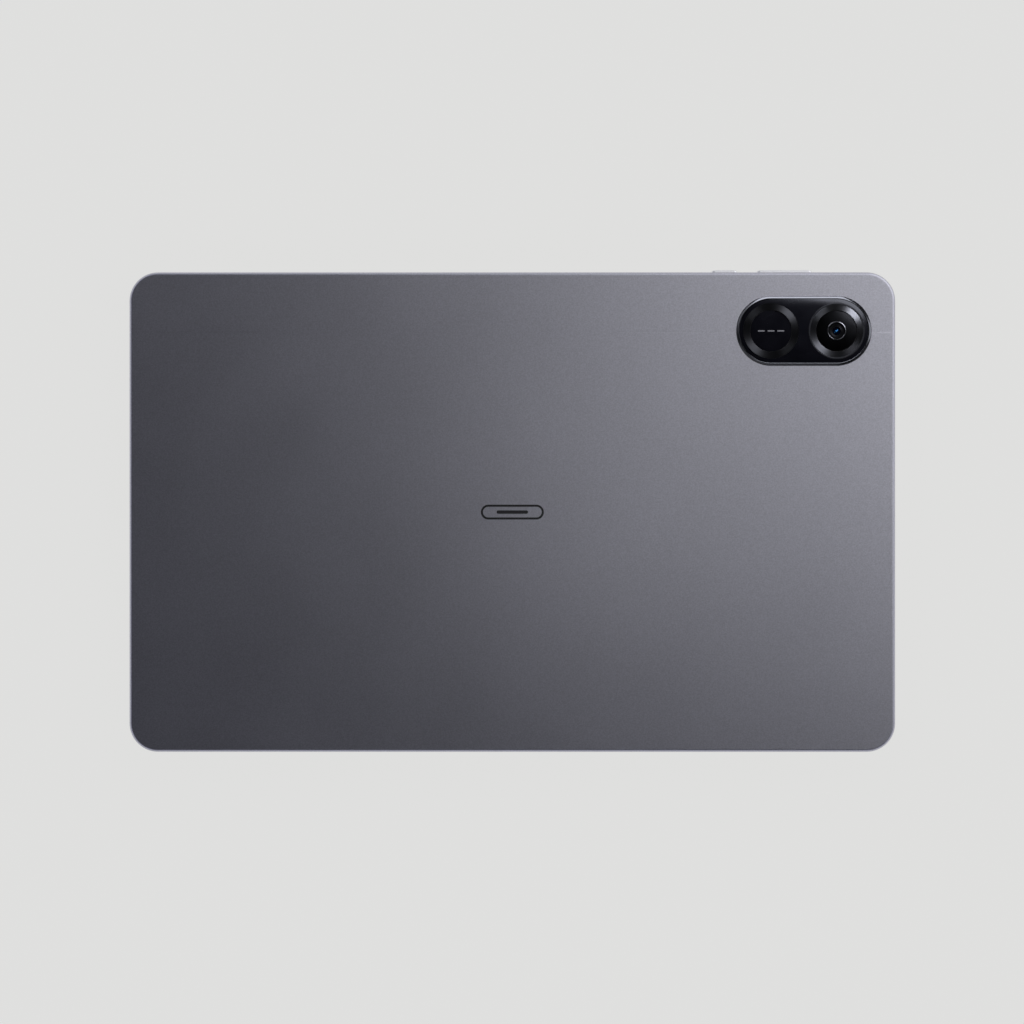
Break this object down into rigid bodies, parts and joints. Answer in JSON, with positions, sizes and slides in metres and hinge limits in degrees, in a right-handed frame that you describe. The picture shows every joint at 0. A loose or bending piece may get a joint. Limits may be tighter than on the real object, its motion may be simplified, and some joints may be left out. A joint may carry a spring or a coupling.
{
  "type": "tablet computer",
  "caption": "Thin tablet computer with a metal rear shell, raised stadium camera with a turned lens ring, sprung side keys and an LCD screen under cover glass.",
  "frame": {"origin": "centre of the screen glass's outer face, which is the surface the tablet rests on when it lies face down", "axes": "+Z out of the rear cover, +X along the long side towards the camera end, +Y across towards the long edge with the keys"},
  "size_m": [0.2674, 0.1681, 0.0083],
  "materials": {
    "aluminium_shell": "fine blasted, dark grey anodised",
    "painted_cap": "metallic grey paint, satin",
    "key_metal": "fine blasted, dark grey anodised",
    "frame_black": "fine matt moulding",
    "screen_glass": "toughened glass printed black behind, polished",
    "camera_black_glass": "glass printed black behind, polished",
    "camera_dark_metal": "dark anodised, polished chamfer",
    "lens_ring_metal": "turned concentric grain, dark anodised",
    "lens_glass": "coated optical glass",
    "inner_black": "matt black moulding",
    "foam": "closed-cell foam",
    "lcd": "polariser film",
    "white_film": "translucent optical film",
    "steel": "stamped sheet",
    "dark_mesh": "black woven mesh",
    "flex_circuit": "amber film over copper",
    "circuit_board": "green solder mask",
    "chip_black": "moulded epoxy",
    "gold_can": "plated can",
    "battery_pouch": "wrapped pouch",
    "graphite": "laminated graphite"
  },
  "bodies": {
    "housing": {"rear_shell": "aluminium_shell", "antenna_cap": "painted_cap", "mid_frame": "frame_black", "cover_glass": "screen_glass", "camera_window": "camera_black_glass", "decor_disc": "camera_black_glass", "camera_frame": "camera_dark_metal", "decor_ring": "camera_dark_metal", "lens_ring": "lens_ring_metal", "lens_cover_glass": "lens_glass", "camera_carrier": "inner_black", "usb_tongue": "inner_black", "speaker_left_lower": "inner_black", "speaker_left_upper": "inner_black", "speaker_right_lower": "inner_black", "speaker_right_upper": "inner_black", "display_adhesive": "foam", "camera_gasket": "foam", "lcd_cell": "lcd", "backlight_films": "white_film", "light_guide": "white_film", "backlight_tray": "steel", "processor_shield": "steel", "power_shield": "steel", "radio_shield": "steel", "usb_shell": "steel", "key_bracket": "steel", "board_screw_1": "steel", "board_screw_2": "steel", "board_screw_3": "steel", "board_screw_4": "steel", "board_screw_5": "steel", "board_screw_6": "steel", "speaker_mesh_left_lower": "dark_mesh", "speaker_mesh_left_upper": "dark_mesh", "speaker_mesh_right_lower": "dark_mesh", "speaker_mesh_right_upper": "dark_mesh", "display_flex": "flex_circuit", "backlight_led_strip": "flex_circuit", "rear_camera_board": "flex_circuit", "key_flex": "flex_circuit", "board_link_flex": "flex_circuit", "battery_flex": "flex_circuit", "main_board": "circuit_board", "usb_board": "circuit_board", "battery_protection_board": "circuit_board", "front_camera": "chip_black", "rear_camera_housing": "chip_black", "power_key_switch": "chip_black", "volume_down_switch": "chip_black", "volume_up_switch": "chip_black", "microphone": "gold_can", "battery_cell_lower": "battery_pouch", "battery_cell_upper": "battery_pouch", "graphite_sheet": "graphite"},
    "power_key": {"power_key": "key_metal"},
    "volume_key": {"volume_key": "key_metal"},
    "focus_barrel": {"rear_lens_barrel": "inner_black", "rear_lens_element": "lens_glass"}
  },
  "joints": [
    {"name": "power_press", "type": "slide", "parent": "housing", "child": "power_key", "axis": [0, -1, 0], "range_m": [0, 0.0003], "stiffness_N_per_m": 4000},
    {"name": "volume_rock", "type": "hinge", "parent": "housing", "child": "volume_key", "pos_m": [0.095, 0.082, 0.00345], "axis": [0, 0, 1], "range_deg": [-1.5, 1.5], "stiffness_Nm_per_rad": 0.3},
    {"name": "lens_focus", "type": "slide", "parent": "housing", "child": "focus_barrel", "axis": [0, 0, 1], "range_m": [0, 0.0003], "stiffness_N_per_m": 100}
  ]
}
